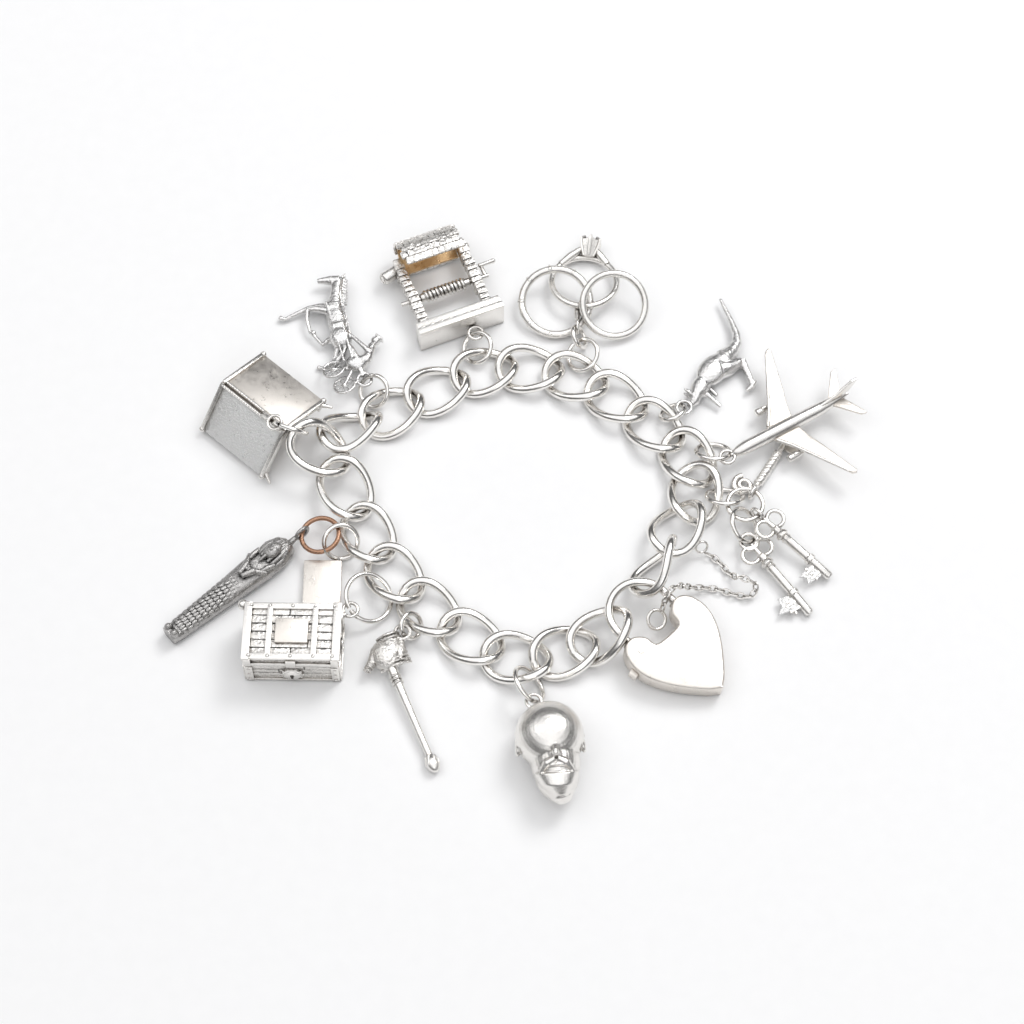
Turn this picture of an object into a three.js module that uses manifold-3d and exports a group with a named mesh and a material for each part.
// A silver curb-link charm bracelet, closed with a heart padlock and lying on a table.
// Units are millimetres, +Z is up, and the table is the plane z = 0.

import * as THREE from 'three';
import { mergeVertices } from 'three/addons/utils/BufferGeometryUtils.js';
import Module from 'manifold-3d';

const wasm = await Module();
wasm.setup();

// ---- driving dimensions ------------------------------------------------------------------

const LINK = { halfLength: 5.3, halfWidth: 3.9, twist: 1.05, wire: 1.5 };
const RING_WIRE = 0.8;
const CLEARANCE = 0.7;
const CHANNEL = 0.25;
const EYE = { radius: 1.2, wire: 0.6 };

// Centre of everything that lies on the table, so that the origin is under its middle.
const CENTRE = { x: 1.613, y: 0.117 };

const SILVER = { color: 0xd9d6d0, roughness: 0.25, metalness: 1 };
const SATIN = { color: 0xcfcbc4, roughness: 0.5, metalness: 1 };
const OXIDISED = { color: 0x6d6a66, roughness: 0.45, metalness: 1 };
const COPPER = { color: 0x9a5f3c, roughness: 0.4, metalness: 1 };

// ---- geometry helpers ----------------------------------------------------------------------

const degrees = THREE.MathUtils.degToRad;
const point = (p) => new THREE.Vector3(...p);

function rotation([roll, pitch, heading]) {
  return new THREE.Euler(degrees(roll), degrees(pitch), degrees(heading), 'ZYX');
}

function moved(geometry, at = [0, 0, 0], turn = [0, 0, 0]) {
  const pose = new THREE.Matrix4().makeRotationFromEuler(rotation(turn)).setPosition(...at);
  return geometry.applyMatrix4(pose);
}

function toSolid(geometry) {
  const bare = geometry.clone();
  bare.deleteAttribute('normal');
  bare.deleteAttribute('uv');
  const merged = mergeVertices(bare, 1e-4);
  return new wasm.Manifold(new wasm.Mesh({
    numProp: 3,
    vertProperties: Float32Array.from(merged.attributes.position.array),
    triVerts: Uint32Array.from(merged.index.array),
  }));
}

function toGeometry(solid) {
  const mesh = solid.getMesh();
  const geometry = new THREE.BufferGeometry();
  geometry.setAttribute('position', new THREE.BufferAttribute(mesh.vertProperties, 3));
  geometry.setIndex(new THREE.BufferAttribute(mesh.triVerts, 1));
  return geometry;
}

function joined(...geometries) {
  return toGeometry(geometries.map(toSolid).reduce((whole, next) => whole.add(next)));
}

function cut(geometry, ...tools) {
  return toGeometry(tools.map(toSolid).reduce((whole, next) => whole.subtract(next), toSolid(geometry)));
}

function block(size, at = [0, 0, 0], turn = [0, 0, 0]) {
  return moved(new THREE.BoxGeometry(...size), at, turn);
}

function ball(radius, at, stretch = [1, 1, 1], turn = [0, 0, 0]) {
  return moved(new THREE.SphereGeometry(radius, 7, 5).scale(...stretch), at, turn);
}

// A round bar from one point to another, tapering from one radius to the other.
function bar(from, to, radius, endRadius = radius, sides = 6) {
  const start = point(from);
  const along = point(to).sub(start);
  const geometry = new THREE.CylinderGeometry(endRadius, radius, along.length(), sides);
  geometry.translate(0, along.length() / 2, 0);
  geometry.applyQuaternion(new THREE.Quaternion().setFromUnitVectors(
    new THREE.Vector3(0, 1, 0), along.clone().normalize()));
  return geometry.translate(...start);
}

function torus(radius, wire, at = [0, 0, 0], turn = [0, 0, 0], steps = 16, sides = 5) {
  return moved(new THREE.TorusGeometry(radius, wire / 2, sides, steps), at, turn);
}

// The small loop that a charm hangs by; its hole faces up unless it is turned.
function eyeLoop(at, turn = [0, 0, 0]) {
  return torus(EYE.radius, EYE.wire, at, turn, 10, 4);
}

// A flat plate with the given outline, from z = low to z = low + thickness.
function plate(outline, thickness, low = 0) {
  const shape = new THREE.Shape(outline.map(([x, y]) => new THREE.Vector2(x, y)));
  return new THREE.ExtrudeGeometry(shape, { depth: thickness, bevelEnabled: false }).translate(0, 0, low);
}

function section(radius, sides) {
  const corners = [];
  for (let i = 0; i < sides; i += 1) {
    const angle = (2 * Math.PI * (i + 0.5)) / sides;
    corners.push(new THREE.Vector2(radius * Math.cos(angle), radius * Math.sin(angle)));
  }
  return new THREE.Shape(corners);
}

function wireAlong(points, wire, steps, sides = 6) {
  const curve = new THREE.CatmullRomCurve3(points.map(point));
  return new THREE.ExtrudeGeometry(section(wire / 2, sides), { extrudePath: curve, steps, bevelEnabled: false });
}

// ---- the assembly --------------------------------------------------------------------------

const bracelet = new THREE.Group();
bracelet.position.set(-CENTRE.x, -CENTRE.y, 0);

function add(name, geometry, material, at = [0, 0, 0], turn = [0, 0, 0]) {
  const mesh = new THREE.Mesh(geometry, new THREE.MeshStandardMaterial(material));
  mesh.name = name;
  mesh.position.set(...at);
  mesh.rotation.copy(rotation(turn));
  bracelet.add(mesh);
  return mesh;
}

// ---- curb chain ----------------------------------------------------------------------------

// Link centres, clockwise from the far side. roll lifts the outer side, a minus pitch lifts the leading
// end, and heading is the direction of travel, in degrees.
const LINKS = [
  { name: 'link_01', x: -4.7, y: 25.8, z: 1.8, roll: 0, pitch: 0, heading: 16 },
  { name: 'link_02', x: 3.0, y: 26.2, z: 1.8, roll: 0, pitch: 0, heading: -5 },
  { name: 'link_03', x: 10.7, y: 24.4, z: 1.8, roll: 0, pitch: 0, heading: -22 },
  { name: 'link_04', x: 17.5, y: 20.4, z: 1.8, roll: 0, pitch: 0, heading: -36 },
  { name: 'link_05', x: 23.8, y: 15.0, z: 1.8, roll: 0, pitch: 0, heading: -46 },
  { name: 'link_06', x: 29.2, y: 9.0, z: 1.8, roll: 0, pitch: 0, heading: -64 },
  { name: 'link_07', x: 30.2, y: 2.6, z: 1.8, roll: 0, pitch: 0, heading: -96 },
  { name: 'link_08', x: 27.0, y: -4.3, z: 3.1, roll: 17, pitch: -8, heading: -118 },
  { name: 'link_09', x: 23.3, y: -11.9, z: 4.1, roll: 58, pitch: 10, heading: -123 },
  { name: 'link_10', x: 14.2, y: -23.4, z: 3.0, roll: 10, pitch: 18, heading: -146 },
  { name: 'link_11', x: 8.4, y: -25.9, z: 1.8, roll: 0, pitch: 0, heading: -158 },
  { name: 'link_12', x: 0.7, y: -27.1, z: 1.8, roll: 0, pitch: 0, heading: 172 },
  { name: 'link_13', x: -6.6, y: -23.7, z: 1.8, roll: 0, pitch: 0, heading: 148 },
  { name: 'link_14', x: -13.4, y: -18.5, z: 1.8, roll: 0, pitch: 0, heading: 137 },
  { name: 'link_15', x: -19.1, y: -12.4, z: 1.8, roll: 0, pitch: 0, heading: 127 },
  { name: 'link_16', x: -23.6, y: -5.0, z: 1.8, roll: 0, pitch: 0, heading: 118 },
  { name: 'link_17', x: -27.3, y: 2.8, z: 2.9, roll: 2, pitch: -14, heading: 119 },
  { name: 'link_18', x: -31.6, y: 8.9, z: 5.5, roll: -5, pitch: -31, heading: 162 },
  { name: 'link_19', x: -26.9, y: 13.9, z: 3.5, roll: -22, pitch: 12, heading: 36 },
  { name: 'link_20', x: -20.2, y: 18.1, z: 1.8, roll: 0, pitch: 0, heading: 32 },
  { name: 'link_21', x: -12.6, y: 22.2, z: 1.8, roll: 0, pitch: 0, heading: 26 },
];

class LinkCurve extends THREE.Curve {
  getPoint(t, target = new THREE.Vector3()) {
    const angle = 2 * Math.PI * t;
    return target.set(
      LINK.halfLength * Math.cos(angle),
      LINK.halfWidth * Math.sin(angle),
      -LINK.twist * Math.sin(2 * angle));
  }
}

const linkMeshes = {};

function addLinks() {
  const geometry = new THREE.TubeGeometry(new LinkCurve(), 18, LINK.wire / 2, 5, true);
  for (const link of LINKS) {
    linkMeshes[link.name] = add(link.name, geometry, SILVER, [link.x, link.y, link.z],
      [link.roll, link.pitch, link.heading]);
  }
}

// The middle of a link's wire at an angle round its oval, 0 at its leading end, 90 at its outer side.
function wirePoint(linkName, angle) {
  const mesh = linkMeshes[linkName];
  mesh.updateMatrix();
  return new LinkCurve().getPoint(angle / 360).applyMatrix4(mesh.matrix);
}

// A point of a piece in the bracelet's own frame.
function placed(mesh, local) {
  mesh.updateMatrix();
  return point(local).applyMatrix4(mesh.matrix);
}

// A round ring whose wire passes through the point at, its middle lying against the direction across.
// lean turns it about that direction, 0 standing upright and 90 lying flat.
function ringGeometry({ at, across, radius, lean }, wire) {
  const along = across.clone().normalize();
  const upright = new THREE.Vector3(0, 0, 1).addScaledVector(along, -along.z).normalize();
  const frame = new THREE.Matrix4().makeBasis(along, upright, along.clone().cross(upright));
  const middle = at.clone().addScaledVector(along, -radius);
  const geometry = new THREE.TorusGeometry(radius, wire / 2, 4, 14);
  geometry.applyMatrix4(new THREE.Matrix4().makeRotationX(degrees(lean))).applyMatrix4(frame);
  return geometry.translate(...middle);
}

// Adds the ring, and frees a channel for it in the body that is given.
function addRing(name, ring, body = null, material = SILVER) {
  add(name, ringGeometry(ring, RING_WIRE), material);
  if (body) {
    body.updateMatrix();
    const channel = ringGeometry(ring, RING_WIRE + 2 * CHANNEL).applyMatrix4(body.matrix.clone().invert());
    body.geometry = cut(body.geometry, channel);
  }
}

// A ring that holds a link's wire at one side and a charm's eye at the other.
function addJumpRing(name, linkName, angle, eye, lean, body = null) {
  const across = eye.clone().sub(wirePoint(linkName, angle));
  const radius = (across.length() + LINK.wire / 2 + RING_WIRE / 2 + CLEARANCE) / 2;
  addRing(name, { at: eye, across, radius, lean }, body);
}

addLinks();

// ---- jump rings and charms -----------------------------------------------------------------

// Gabled meeting house: the ridge runs along x, the open porch faces +x.
const HOUSE = { length: 14.4, halfWidth: 8.0, ridge: 6.4, eave: 1.2, porch: 3.2 };

function gable(halfWidth, ridge, eave, from, to) {
  const foot = 0.4;
  const outline = [
    [-halfWidth + 0.5, foot], [-halfWidth, eave], [0, ridge], [halfWidth, eave], [halfWidth - 0.5, foot],
  ];
  return moved(plate(outline, to - from), [from, 0, 0], [90, 0, 90]);
}

function addMeetingHouse() {
  const half = HOUSE.length / 2;
  const roof = gable(HOUSE.halfWidth, HOUSE.ridge, HOUSE.eave, -half, half);
  const porch = gable(HOUSE.halfWidth - 1.4, HOUSE.ridge - 1.2, HOUSE.eave, half - HOUSE.porch, half + 1);
  const parts = [cut(roof, porch)];
  for (const end of [-half, half - 0.7]) {
    const board = gable(HOUSE.halfWidth + 0.4, HOUSE.ridge + 0.25, HOUSE.eave + 0.2, end, end + 0.7);
    const inside = gable(HOUSE.halfWidth - 1.4, HOUSE.ridge - 1.2, HOUSE.eave, end - 1, end + 2);
    parts.push(end < 0 ? board : cut(board, inside));
  }
  for (const side of [-1, 1]) {
    parts.push(block([0.9, 1.4, 1.6], [-half + 0.3, side * (HOUSE.halfWidth - 0.1), 0.8]));
    const armStart = [half - 0.3, side * (HOUSE.halfWidth - 1.2), 1.0];
    const armTip = [half + 1.6, side * (HOUSE.halfWidth + 0.4), 0.6];
    parts.push(bar(armStart, armTip, 0.6, 0.4));
    parts.push(bar([-half, side * 0.4, HOUSE.ridge], [half - 4, side * 0.4, HOUSE.ridge], 0.35));
  }
  parts.push(block([0.8, 1.0, 5.2], [half - 0.6, 0, 3.0]));
  const eye = [half - 1.9, 0, HOUSE.ridge + 1.5];
  parts.push(bar([half - 4.6, 0, HOUSE.ridge], [half - 3.2, 0, eye[2]], 0.9, 0.4));
  parts.push(eyeLoop(eye));
  const house = add('meeting_house', joined(...parts), SATIN, [-41.3, 16.5, 2.55], [17, 0, -41]);
  addJumpRing('jump_ring_house', 'link_18', -10, placed(house, eye), -30, house);
}

// Trotting horse lying on its side with its two-wheeled cart and driver, cast in one piece.
// x runs from the cart to the horse's head, y from its legs to its back.
function addTrotter() {
  const parts = [
    ball(1, [4.5, -0.6, 2.0], [4.6, 1.9, 1.5]),
    ball(1, [0.6, -0.2, 2.0], [2.4, 2.0, 1.6]),
    bar([7.0, -1.0, 2.0], [12.2, -2.9, 2.1], 1.6, 0.9),
    bar([12.0, -3.1, 2.1], [13.2, 0.6, 2.0], 1.15, 0.6),
    bar([7.8, -0.2, 1.6], [8.6, 3.4, 1.2], 0.7, 0.5, 5),
    bar([8.6, 3.4, 1.2], [8.2, 8.2, 0.8], 0.5, 0.3, 5),
    bar([6.6, 0.4, 2.4], [8.2, 3.6, 2.0], 0.6, 0.5, 5),
    bar([8.2, 3.6, 2.0], [4.6, 4.4, 1.4], 0.5, 0.45, 5),
    bar([4.6, 4.4, 1.4], [1.0, 2.4, 1.2], 0.45, 0.45, 5),
    bar([0.6, 0.6, 1.8], [1.4, 3.0, 1.2], 0.7, 0.45, 5),
    bar([0.2, 0.4, 1.4], [-3.4, 2.6, 0.8], 0.75, 0.45, 5),
    bar([-3.4, 2.6, 0.8], [-2.6, 4.6, 0.6], 0.45, 0.35, 5),
    bar([8.5, -1.2, 3.0], [-4.0, -0.6, 3.2], 0.35, 0.35, 5),
    ball(1, [-4.6, -1.6, 2.2], [1.7, 2.0, 1.6], [0, 0, -20]),
    bar([-4.4, -2.8, 2.4], [-1.2, -5.8, 2.0], 1.0, 0.7),
    ball(0.9, [-1.0, -5.9, 2.0]),
    bar([-1.6, -4.6, 2.2], [0.6, -2.0, 2.4], 0.5, 0.4, 5),
    bar([-5.2, -1.8, 2.4], [-7.4, -1.8, 2.4], 0.7, 0.5),
  ];
  for (const [x, y, z] of [[-4.6, 2.6, 2.3], [-8.0, 1.6, 2.1]]) {
    parts.push(torus(1.8, 0.6, [x, y, z], [0, 20, 20], 12, 4));
    parts.push(bar([x, y, z], [-5.4, -1.2, 2.2], 0.5, 0.5, 5));
    parts.push(bar([x - 1.8, y, z], [x + 1.8, y, z], 0.3, 0.3, 4));
  }
  const eye = [-8.1, -1.9, 2.4];
  parts.push(eyeLoop(eye));
  const trotter = add('trotting_horse_and_cart', joined(...parts), SILVER, [-29.0, 31.0, 0], [0, 0, 107]);
  addJumpRing('jump_ring_trotter', 'link_20', 96, placed(trotter, eye), 50, trotter);
}

// Wishing well lying on its back. x runs along the base step, y from the base to the roof.
const WELL = { width: 14.0, post: 17.0, windlass: 6.6, step: 15.0, axle: 3.0, eye: [1.8, -3.1, 2.6] };
const WELL_PLACE = { at: [-9.0, 35.0, 0], turn: [0, 0, 22] };

function addWishingWell() {
  const postX = WELL.width / 2 - 1.3;
  const parts = [
    block([WELL.step, 1.5, 5.6], [0, 0.2, 2.9]),
    block([WELL.step + 0.4, 1.2, 6.0], [0, -1.1, 3.0]),
    eyeLoop(WELL.eye),
    bar([-postX + 0.2, WELL.post - 3.2, 2.2], [-postX - 3.2, WELL.post - 4.0, 2.2], 1.25),
  ];
  const hole = bar([-WELL.width, WELL.windlass, WELL.axle], [WELL.width, WELL.windlass, WELL.axle], 0.75);
  for (const side of [-1, 1]) {
    const post = block([1.9, WELL.post, 2.4], [side * postX, WELL.post / 2, WELL.axle]);
    parts.push(cut(post, hole));
  }
  const arch = [];
  for (let i = 0; i <= 8; i += 1) {
    const angle = Math.PI * (i / 8);
    arch.push([3.1 - 3.9 * Math.cos(angle), 0.8 + 3.9 * Math.sin(angle)]);
  }
  const roof = plate([...arch, [7.2, 0], [-0.6, 0]], WELL.width - 3.9);
  const under = plate(arch.map(([x, y]) => [3.1 + (x - 3.1) * 0.76, -0.9 + (y - 0.8) * 0.76]), WELL.width);
  const thatch = cut(roof, moved(under, [0, 0, -1]));
  parts.push(moved(thatch, [(WELL.width - 3.9) / 2, WELL.post - 4.4, 0.9], [0, -90, 0]));
  const frame = add('well_frame', joined(...parts), SATIN, WELL_PLACE.at, WELL_PLACE.turn);
  addJumpRing('jump_ring_well', 'link_01', 90, placed(frame, WELL.eye), 60, frame);

  const end = WELL.width / 2 + 0.9;
  const windlass = joined(
    bar([-postX + 1.3, WELL.windlass, WELL.axle], [postX - 1.3, WELL.windlass, WELL.axle], 1.05, 1.05, 12),
    bar([-end, WELL.windlass, WELL.axle], [end, WELL.windlass, WELL.axle], 0.42),
    bar([end - 0.4, WELL.windlass, WELL.axle], [end - 0.4, WELL.windlass + 2.4, WELL.axle], 0.4),
    bar([end - 0.8, WELL.windlass + 2.4, WELL.axle], [end + 2.2, WELL.windlass + 2.4, WELL.axle], 0.42),
  );
  add('well_windlass', windlass, SILVER, WELL_PLACE.at, WELL_PLACE.turn);
}

// Three finger rings soldered together: a solitaire between two bands.
function addWeddingRings() {
  const gemY = 7.2;
  const eye = [-1.3, -8.3, 2.4];
  const parts = [
    torus(5.6, 1.0, [0, 1.0, 1.8], [-10, 0, 0], 16),
    torus(5.8, 1.3, [-4.9, -3.4, 2.4], [16, 0, 0], 16),
    torus(5.4, 1.1, [5.0, -4.6, 3.4], [24, 8, 0], 16),
    bar([0.6, gemY - 1.4, 1.2], [1.0, gemY + 0.8, 1.9], 0.8, 1.7, 8),
    bar([1.0, gemY + 0.8, 1.9], [1.3, gemY + 2.6, 2.0], 1.7, 1.9, 8),
    bar([-0.6, -4.4, 2.4], [-0.5, -4.6, 4.3], 0.7, 0.6),
    eyeLoop(eye, [90, 0, 90]),
    bar([-1.3, -5.4, 2.0], [-1.3, -7.2, 2.4], 0.8, 0.4),
    bar([-1.3, -5.6, 2.2], [0.4, -5.0, 1.0], 0.5, 0.5),
    bar([-1.3, -5.6, 2.2], [-1.2, -4.6, 1.6], 0.5, 0.5),
  ];
  const rings = add('three_rings', joined(...parts), SILVER, [12.4, 42.4, 0]);
  const holder = placed(rings, eye);
  const across = holder.clone().sub(wirePoint('link_03', 90)).normalize();
  const meeting = holder.clone().addScaledVector(across, -2.5);
  addRing('jump_ring_rings_far', { at: holder, across, radius: 1.9, lean: -35 }, rings);
  addJumpRing('jump_ring_rings_near', 'link_03', 90, meeting, 60);
}

// Bounding kangaroo lying on its side, its nose at the chain.
function addKangaroo() {
  const eye = [-4.9, -7.4, 2.4];
  const limb = (points, radii) => points.slice(1).map((end, i) => bar(points[i], end, radii[i], radii[i + 1]));
  const tail = [[2.0, 2.2, 1.7], [4.0, 4.4, 1.6], [4.6, 6.6, 1.5], [3.6, 10.2, 1.4], [2.0, 14.6, 1.3]];
  const hindLeg = [[1.4, 0.2, 1.8], [3.4, 1.2, 1.6], [5.2, 2.2, 1.4], [7.2, -3.0, 0.9]];
  const foreLeg = [[-2.4, -4.4, 1.6], [-0.6, -4.8, 1.4], [1.4, -6.6, 1.0]];
  const parts = [
    ball(1, [0, 0, 1.7], [3.7, 2.5, 1.6], [0, 0, 52]),
    ball(1, [-2.0, -3.0, 1.6], [2.5, 1.7, 1.3], [0, 0, 66]),
    ball(1, [-3.1, -5.8, 1.5], [1.4, 1.0, 1.0], [0, 0, 40]),
    ...limb(tail, [1.8, 1.4, 1.1, 0.8, 0.35]),
    ...limb(hindLeg, [1.7, 1.1, 0.8, 0.5]),
    ...limb(foreLeg, [0.9, 0.6, 0.5]),
    bar([-3.2, -6.2, 1.6], [-4.3, -6.9, 1.9], 0.6, 0.5),
    eyeLoop(eye),
  ];
  const kangaroo = add('kangaroo', joined(...parts), SILVER, [33.7, 25.8, 0.1]);
  addJumpRing('jump_ring_kangaroo', 'link_05', 90, placed(kangaroo, eye), 55, kangaroo);
}

// Jet airliner, nose at the origin and flying along -x, resting on its wings and the key below.
function addAirliner() {
  const eye = [-0.9, 0, 0];
  const wing = [[6.8, 0.6], [11.6, 0.6], [13.4, 3.4], [16.2, 13.2], [15.3, 13.8], [14.4, 13.2], [8.5, 3.1]];
  const tail = [[18.9, 0.4], [21.2, 0.4], [23.6, 5.0], [22.2, 5.0]];
  const parts = [
    bar([2.0, 0, 0], [18.4, 0, 0], 1.1, 1.05, 10),
    bar([0.2, 0, 0], [2.0, 0, 0], 0.5, 1.1, 10),
    bar([18.4, 0, 0], [22.6, 0, 0.5], 1.05, 0.35, 10),
    moved(plate([[17.2, 0], [21.2, 0], [24.2, 4.4], [22.9, 4.4]], 0.6, -0.3), [0, 0, 0], [90, 0, 0]),
    eyeLoop(eye),
  ];
  for (const side of [1, -1]) {
    const across = ([x, y]) => [x, side * y];
    const inOrder = (outline) => (side > 0 ? outline.map(across) : outline.map(across).reverse());
    parts.push(moved(plate(inOrder(wing), 0.8, -0.4), [0, 0, -0.3], [side * 6, 0, 0]));
    parts.push(moved(plate(inOrder(tail), 0.6, -0.3), [0, 0, 0.3], [side * 6, 0, 0]));
    parts.push(bar([7.9, side * 5.0, -1.0], [10.9, side * 5.0, -1.0], 0.7, 0.5));
    parts.push(block([2.0, 0.5, 0.8], [9.8, side * 5.0, -0.6]));
  }
  const airliner = add('airliner', joined(...parts), SILVER, [36.4, 9.0, 3.3], [0, 0, 30]);
  addJumpRing('jump_ring_airliner', 'link_06', 90, placed(airliner, eye), 60, airliner);
}

// Flat ring that the keys hang on.
const KEY_RING = { at: [38.2, -0.33, 3.4], radius: 2.85 };

// Key with a twisted shank. The ring bow is at the origin, the shank runs along +x.
function addTwistedKey() {
  const parts = [
    torus(1.5, 0.8, [-0.4, 2.0, 0.8], [0, 0, 0], 14),
    bar([-1.2, 0.2, 0.8], [1.4, 0, 0.9], 0.8, 0.6),
    torus(EYE.radius, 0.7, [-2.0, -0.55, KEY_RING.at[2]], [90, 0, 0], 12),
    bar([-1.0, -0.2, 0.8], [-1.0, -0.5, 2.6], 0.7, 0.45),
    bar([1.0, 0, 0.9], [7.6, 0, 0.9], 0.75, 0.75, 6),
    bar([7.6, 0, 0.9], [11.4, 0, 0.9], 0.6),
    block([2.6, 2.4, 0.7], [10.0, -1.6, 0.8]),
  ];
  for (const x of [1.8, 3.6, 5.4, 7.2]) parts.push(bar([x - 0.4, 0, 0.95], [x + 0.4, 0, 0.95], 0.95));
  return add('twisted_key', joined(...parts), SILVER, [40.2, 3.9, 0], [0, 0, 58]);
}

// The lobes of a trefoil bow.
const TREFOIL = { offset: 1.45, radius: 1.35, wire: 0.75 };

// A key with a three-lobed bow, its shank along +x from the middle of the bow. uprightLobe turns the
// lobe at the end on its edge, so that a flat ring goes through it.
function addTrefoilKey(name, shank, bit, uprightLobe, at, turn) {
  const parts = [
    bar([1.6, 0, 0], [3.2, 0, 0], 0.9, 1.15, 8),
    bar([3.2, 0, 0], [4.6, 0, 0], 1.15, 0.8, 8),
    bar([4.4, 0, 0], [shank, 0, 0], 0.72, 0.72, 8),
    bar([shank - 4.6, 0, 0], [shank - 4.0, 0, 0], 0.95, 0.95, 8),
    plate(bit.map(([x, y]) => [shank + x, y]), 0.6, -0.3),
  ];
  const lobes = uprightLobe ? [65, 295] : [65, 180, 295];
  for (const angle of lobes) {
    const lobe = [TREFOIL.offset * Math.cos(degrees(angle)), TREFOIL.offset * Math.sin(degrees(angle)), 0];
    parts.push(torus(TREFOIL.radius, TREFOIL.wire, lobe, [0, 0, 0], 12, 4));
  }
  if (uprightLobe) {
    parts.push(torus(EYE.radius, 0.7, [-2.0, 0, -0.4], [90, 0, 0], 10, 4));
    parts.push(bar([-0.9, 0, 0], [1.8, 0, 0], 0.5));
  }
  return add(name, joined(...parts), SILVER, at, turn);
}

// The flat key ring, the ring that ties it to the chain, and the one that ties the front key to it.
function addKeyRings(twistedKey, frontKey) {
  const [x, y, z] = KEY_RING.at;
  add('key_ring', torus(KEY_RING.radius, RING_WIRE, KEY_RING.at), SILVER);
  const chainSide = new THREE.Vector3(x - 0.85, y + 0.53, z);
  addJumpRing('jump_ring_keys', 'link_07', 90, chainSide, 56, twistedKey);
  const keySide = new THREE.Vector3(x - 0.95, y - 0.8, z);
  const lobe = placed(frontKey, [-TREFOIL.offset, 0, 0]);
  const across = lobe.clone().sub(keySide);
  addRing('jump_ring_front_key', { at: lobe, across, radius: across.length() / 2, lean: 51 }, frontKey);
}

const SQUARE_BIT = [[-3.6, -3.6], [-2.6, -3.0], [-1.8, -3.6], [-1.0, -0.4], [-3.6, -0.4]];
const STAR_BIT = [[-5.0, -2.8], [-3.6, -3.0], [-2.8, -4.4], [-2.2, -2.6], [-1.4, -0.4], [-4.4, -0.4]];

// Heart padlock lying on its back, its tip towards -y.
const HEART = { thickness: 3.6, legX: 5.2, legY: 5.4, wire: 1.4, axis: 2.0, bend: 9.2, pin: [-5.2, 4.2] };
const HEART_PLACE = { at: [26.9, -26.3, 0.9], turn: [5.5, 0, 44] };

function addPadlock() {
  const half = [
    [2.7, 3.3], [2.9, 5.6], [4.6, 6.9], [6.4, 6.6], [7.7, 5.0], [8.0, 2.6], [7.2, -0.6], [5.0, -4.0], [2.2, -7.2],
  ];
  const outline = [[0, -9.2], ...half.slice().reverse(), ...half.map(([x, y]) => [-x, y])];
  const body = plate(outline, HEART.thickness);
  const socketRadius = HEART.wire / 2 + 0.3;
  const sockets = [-1, 1].map((side) => {
    const legX = side * HEART.legX;
    return bar([legX, HEART.legY - 2.2, HEART.axis], [legX, HEART.legY + 4, HEART.axis], socketRadius, socketRadius, 10);
  });
  const [pinX, pinY] = HEART.pin;
  const slotRadius = HEART.wire / 2 + 0.35;
  const swing = [0, 8, 16, 24].map((angle) => {
    const tipX = pinX - 6 * Math.sin(degrees(angle));
    const tipY = pinY + 6 * Math.cos(degrees(angle));
    return bar([pinX, pinY - 0.9, HEART.axis], [tipX, tipY, HEART.axis], slotRadius, slotRadius, 10);
  });
  const lug = block([2.0, 1.6, 2.0], [-8.0, 2.6, 1.4]);
  const heart = joined(cut(body, ...sockets, ...swing), lug);
  add('padlock_body', heart, SATIN, HEART_PLACE.at, HEART_PLACE.turn);

  const bend = [];
  for (let i = 0; i <= 6; i += 1) {
    const angle = Math.PI * (1 - i / 6);
    bend.push([HEART.legX * Math.cos(angle), HEART.bend + HEART.legX * Math.sin(angle), HEART.axis]);
  }
  const hingeEnd = [-HEART.legX, HEART.legY - 1.8, HEART.axis];
  const lockEnd = [HEART.legX, HEART.legY - 1.0, HEART.axis];
  const route = [hingeEnd, ...bend, lockEnd];
  add('padlock_shackle', wireAlong(route, HEART.wire, 18, 8), SILVER, HEART_PLACE.at, HEART_PLACE.turn);
}

// Fine trace chain from a ring in the padlock's notch to the end link, knotted once.
function addSafetyChain() {
  const route = [
    [24.2, -19.0, 3.6], [25.0, -17.3, 5.4], [26.8, -15.8, 4.8], [29.2, -14.6, 1.8], [33.0, -14.4, 0.7],
    [36.0, -15.4, 0.8], [38.6, -15.8, 1.0], [39.4, -14.4, 2.0], [37.6, -13.4, 2.6], [35.6, -12.0, 1.0],
    [34.0, -9.8, 0.7], [32.4, -8.4, 0.8], [31.2, -8.2, 1.2],
  ];
  add('safety_chain', wireAlong(route, 1.1, 36, 6), SILVER);
  add('notch_ring', torus(1.5, 0.6, [23.2, -20.7, 2.6], [35, 0, 42]), SILVER);
}

// Head of an old bearded man, lying on its back with its chin towards -y.
function addElderHead() {
  const eye = [-2.0, 8.3, 3.4];
  const parts = [
    ball(1, [0, 1.6, 5.0], [5.6, 5.8, 5.0]),
    ball(1, [1.0, -3.0, 4.3], [4.0, 5.2, 4.1]),
    bar([0.8, -6.0, 4.6], [1.5, -9.4, 3.4], 2.6, 0.9),
    ball(1, [0.8, -2.6, 8.6], [0.8, 1.5, 1.0]),
    eyeLoop(eye),
    ball(0.9, [-1.9, 6.8, 3.6]),
  ];
  const head = add('elder_head', joined(...parts), SILVER, [6.0, -43.4, 0], [0, 0, 4]);
  addJumpRing('jump_ring_head', 'link_12', 115, placed(head, eye), 40, head);
}

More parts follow.
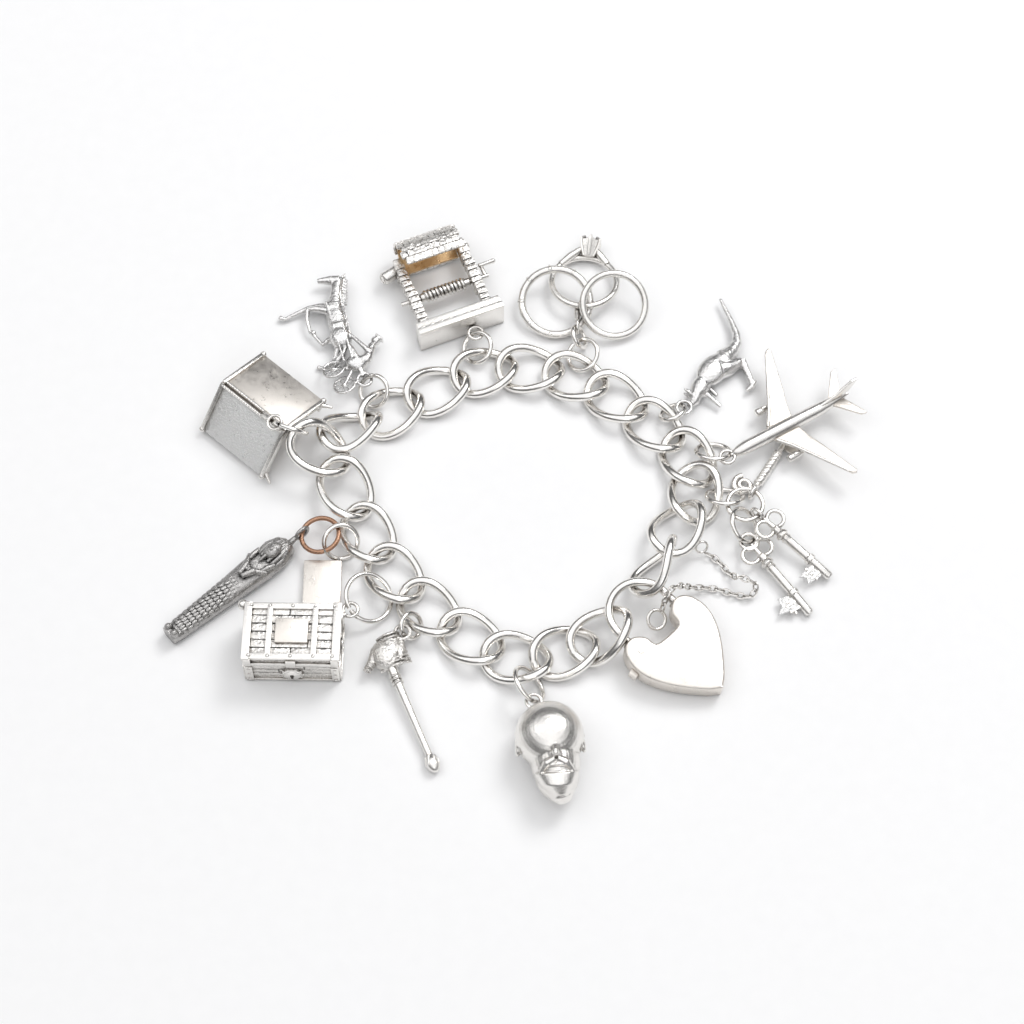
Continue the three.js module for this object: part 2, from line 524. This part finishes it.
// Long-handled carved adze: the head is at the origin and the handle runs along +x.
function addAdze() {
  const eye = [-2.6, 3.9, 2.5];
  const parts = [
    ball(1, [0, 0, 2.2], [3.0, 2.6, 1.8]),
    bar([-3.2, 2.6, 1.6], [2.2, 1.6, 2.2], 1.1, 0.9),
    bar([-1.2, -1.2, 2.0], [1.2, -4.2, 1.6], 1.3, 0.5),
    bar([1.4, 0, 2.0], [18.4, 0, 1.2], 0.8, 0.6),
    bar([4.0, 0, 1.9], [5.0, 0, 1.8], 1.1, 1.1),
    ball(1, [19.6, 0, 1.2], [1.7, 1.2, 1.1]),
    eyeLoop(eye),
    bar([-1.0, 1.2, 2.3], [-2.0, 2.9, 2.5], 0.8, 0.4),
  ];
  const adze = add('adze', joined(...parts), SATIN, [-20.1, -26.8, 0], [0, 0, -67]);
  addJumpRing('jump_ring_adze', 'link_14', 90, placed(adze, eye), 45, adze);
}

// Planked treasure chest. x runs along the hinge, which is at the back (+y).
const CHEST = { length: 15.0, depth: 9.8, body: 5.2, lid: 2.6, wall: 1.1 };
const CHEST_PLACE = { at: [-34.8, -25.2, 0], turn: [0, 0, -1] };

function addChest() {
  const halfX = CHEST.length / 2;
  const halfY = CHEST.depth / 2;
  const box = block([CHEST.length, CHEST.depth, CHEST.body], [0, 0, CHEST.body / 2]);
  const inside = block([CHEST.length - 2 * CHEST.wall, CHEST.depth - 2 * CHEST.wall, CHEST.body],
    [0, 0, CHEST.body / 2 + CHEST.wall]);
  const bands = [];
  for (const side of [-1, 1]) {
    bands.push(block([1.2, 0.7, CHEST.body], [side * (halfX - 0.6), -halfY, CHEST.body / 2]));
    bands.push(block([0.6, CHEST.depth, 1.0], [side * (halfX + 0.1), 0, 0.6]));
  }
  const lockPlate = bar([0, -halfY + 0.2, 2.6], [0, -halfY - 0.9, 2.6], 1.9, 1.5, 10);
  const eye = [halfX + 1.3, halfY + 1.0, 3.6];
  const stub = bar([halfX - 0.4, halfY - 0.4, 3.6], [halfX + 0.6, halfY + 0.2, 3.6], 0.6);
  const parts = [cut(box, inside), ...bands, lockPlate, stub, eyeLoop(eye)];
  const body = add('chest_body', joined(...parts), SATIN, CHEST_PLACE.at, CHEST_PLACE.turn);
  addJumpRing('jump_ring_chest', 'link_15', 100, placed(body, eye), 65, body);

  const low = CHEST.body + 0.3;
  const slab = block([CHEST.length, CHEST.depth, CHEST.lid], [0, 0, low + CHEST.lid / 2]);
  const frame = [];
  for (const side of [-1, 1]) {
    frame.push(block([1.4, CHEST.depth + 0.4, CHEST.lid], [side * (halfX - 0.4), 0, low + CHEST.lid / 2 + 0.2]));
    frame.push(block([CHEST.length, 1.2, 0.6], [0, side * (halfY - 0.6), low + CHEST.lid]));
  }
  frame.push(block([5.6, 4.8, 0.5], [0, 0, low + CHEST.lid + 0.1]));
  frame.push(ball(0.9, [-halfX - 0.6, halfY - 0.2, low + CHEST.lid - 0.6]));
  add('chest_lid', joined(slab, ...frame), SATIN, CHEST_PLACE.at, CHEST_PLACE.turn);
}

function addIngot() {
  add('ingot', block([6.2, 10.6, 1.6], [0, 0, 0.8]), SATIN, [-30.8, -14.8, 0]);
}

// Mummy case lying on its back: the head at +x, with the eye beyond it.
function addMummyCase() {
  const eye = [13.9, 0, 2.4];
  const rows = [
    { x: -13.6, half: 1.6, top: 3.2 },
    { x: -12.0, half: 1.7, top: 2.5 },
    { x: -4.0, half: 2.0, top: 2.9 },
    { x: 2.0, half: 2.4, top: 3.6 },
    { x: 5.0, half: 2.6, top: 3.6 },
    { x: 8.6, half: 2.5, top: 4.2 },
    { x: 11.4, half: 1.5, top: 3.2 },
  ];
  const backwards = rows.slice().reverse();
  const widths = [...rows.map((row) => [row.x, -row.half]), ...backwards.map((row) => [row.x, row.half])];
  const heights = [[rows[0].x, 0], [rows.at(-1).x, 0], ...backwards.map((row) => [row.x, row.top])];
  const plan = toSolid(plate(widths, 8));
  const side = toSolid(moved(plate(heights, 8, -4), [0, 0, 0], [90, 0, 0]));
  const body = toGeometry(plan.intersect(side));
  const parts = [
    body,
    bar([2.0, -1.5, 3.4], [2.0, 1.5, 3.4], 0.9),
    ball(1, [7.6, 0, 3.8], [1.7, 1.4, 1.2]),
    bar([11.0, 0, 2.0], [12.6, 0, 2.4], 0.7, 0.5),
    eyeLoop(eye, [90, 0, 0]),
  ];
  const mummy = add('mummy_case', joined(...parts), OXIDISED, [-44.8, -14.2, 0], [0, 0, 41]);
  const holder = placed(mummy, eye);
  const copperEnd = wirePoint('link_16', 90).add(new THREE.Vector3(-1.2, 0.6, 1.5));
  const across = holder.clone().sub(copperEnd);
  addRing('jump_ring_mummy_copper', { at: holder, across, radius: across.length() / 2, lean: 90 }, mummy, COPPER);
  addJumpRing('jump_ring_mummy_silver', 'link_16', 90, new THREE.Vector3(-30.3, -6.1, 3.65), 57);
}

addMeetingHouse();
addTrotter();
addWishingWell();
addWeddingRings();
addKangaroo();
addAirliner();
const twistedKey = addTwistedKey();
addTrefoilKey('key_back', 13.6, SQUARE_BIT, true, [41.7, -3.45, 3.3], [0, 9, -42]);
const frontKey = addTrefoilKey('key_front', 14.2, STAR_BIT, false, [39.6, -7.6, 1.8], [0, 3, -53]);
addKeyRings(twistedKey, frontKey);
addPadlock();
addSafetyChain();
addElderHead();
addAdze();
addChest();
addIngot();
addMummyCase();

export default bracelet;
